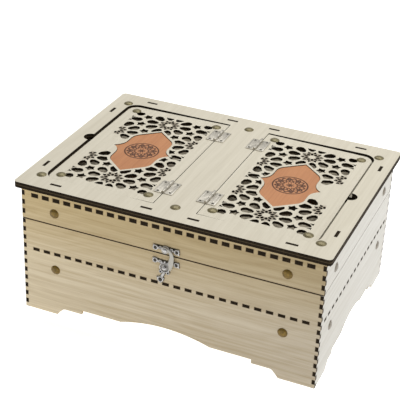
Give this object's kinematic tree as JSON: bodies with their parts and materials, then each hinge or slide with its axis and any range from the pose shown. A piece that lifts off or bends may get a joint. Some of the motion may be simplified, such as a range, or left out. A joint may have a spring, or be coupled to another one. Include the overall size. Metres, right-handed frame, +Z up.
{
  "type": "quran box",
  "caption": "Hinged sheet-wood book box with finger-jointed walls, scalloped feet, dome nails, a hook latch and fretwork doors with medallions in its lid.",
  "frame": {"origin": "on the standing surface, under the middle of the box", "axes": "+X to the right along the long front, +Y from the front to the hinged back, +Z up"},
  "size_m": [0.31, 0.229, 0.1441],
  "materials": {
    "pale_wood": "pale veneered sheet with burnt laser-cut edges",
    "inner_wood": "pale sheet with burnt tab ends",
    "medallion_wood": "orange stained sheet",
    "antique_brass": "dull antique brass",
    "nickel": "bright plated pressed metal"
  },
  "bodies": {
    "base": {"base_front_wall": "pale_wood", "base_back_wall": "pale_wood", "base_left_wall": "pale_wood", "base_right_wall": "pale_wood", "floor_panel": "inner_wood", "base_nails": "antique_brass", "left_rear_base_leaf": "nickel", "right_rear_base_leaf": "nickel", "rear_hinge_pins": "nickel", "rear_base_screws": "nickel", "latch_lower_plate": "nickel", "latch_stud": "nickel", "latch_lower_nails": "nickel"},
    "lid": {"lid_front_wall": "pale_wood", "lid_back_wall": "pale_wood", "lid_left_wall": "pale_wood", "lid_right_wall": "pale_wood", "ceiling_panel": "inner_wood", "front_strip": "inner_wood", "back_strip": "inner_wood", "left_strip": "inner_wood", "right_strip": "inner_wood", "lower_frame": "pale_wood", "top_panel": "pale_wood", "lid_nails": "antique_brass", "frame_nails": "antique_brass", "left_front_frame_leaf": "nickel", "left_back_frame_leaf": "nickel", "right_front_frame_leaf": "nickel", "right_back_frame_leaf": "nickel", "door_hinge_pins": "nickel", "frame_leaf_nails": "nickel", "left_rear_lid_leaf": "nickel", "right_rear_lid_leaf": "nickel", "rear_lid_screws": "nickel", "latch_upper_plate": "nickel", "latch_rivet": "nickel", "latch_upper_nails": "nickel"},
    "left_door": {"left_door": "pale_wood", "left_medallion": "medallion_wood", "left_door_nails": "antique_brass", "left_front_door_leaf": "nickel", "left_back_door_leaf": "nickel", "left_leaf_nails": "nickel"},
    "right_door": {"right_door": "pale_wood", "right_medallion": "medallion_wood", "right_door_nails": "antique_brass", "right_front_door_leaf": "nickel", "right_back_door_leaf": "nickel", "right_leaf_nails": "nickel"},
    "hook": {"latch_hook": "nickel"}
  },
  "joints": [
    {"name": "lid_hinge", "type": "hinge", "parent": "base", "child": "lid", "pos_m": [0, 0.1108, 0.10045], "axis": [-1, 0, 0], "range_deg": [0, 100]},
    {"name": "left_door_hinge", "type": "hinge", "parent": "lid", "child": "left_door", "pos_m": [-0.02135, 0, 0.1427], "axis": [0, 1, 0], "range_deg": [0, 95]},
    {"name": "right_door_hinge", "type": "hinge", "parent": "lid", "child": "right_door", "pos_m": [0.02135, 0, 0.1427], "axis": [0, -1, 0], "range_deg": [0, 95]},
    {"name": "latch_pivot", "type": "hinge", "parent": "lid", "child": "hook", "pos_m": [-0.0005, -0.1112, 0.1061], "axis": [0, -1, 0], "range_deg": [0, 100]}
  ]
}
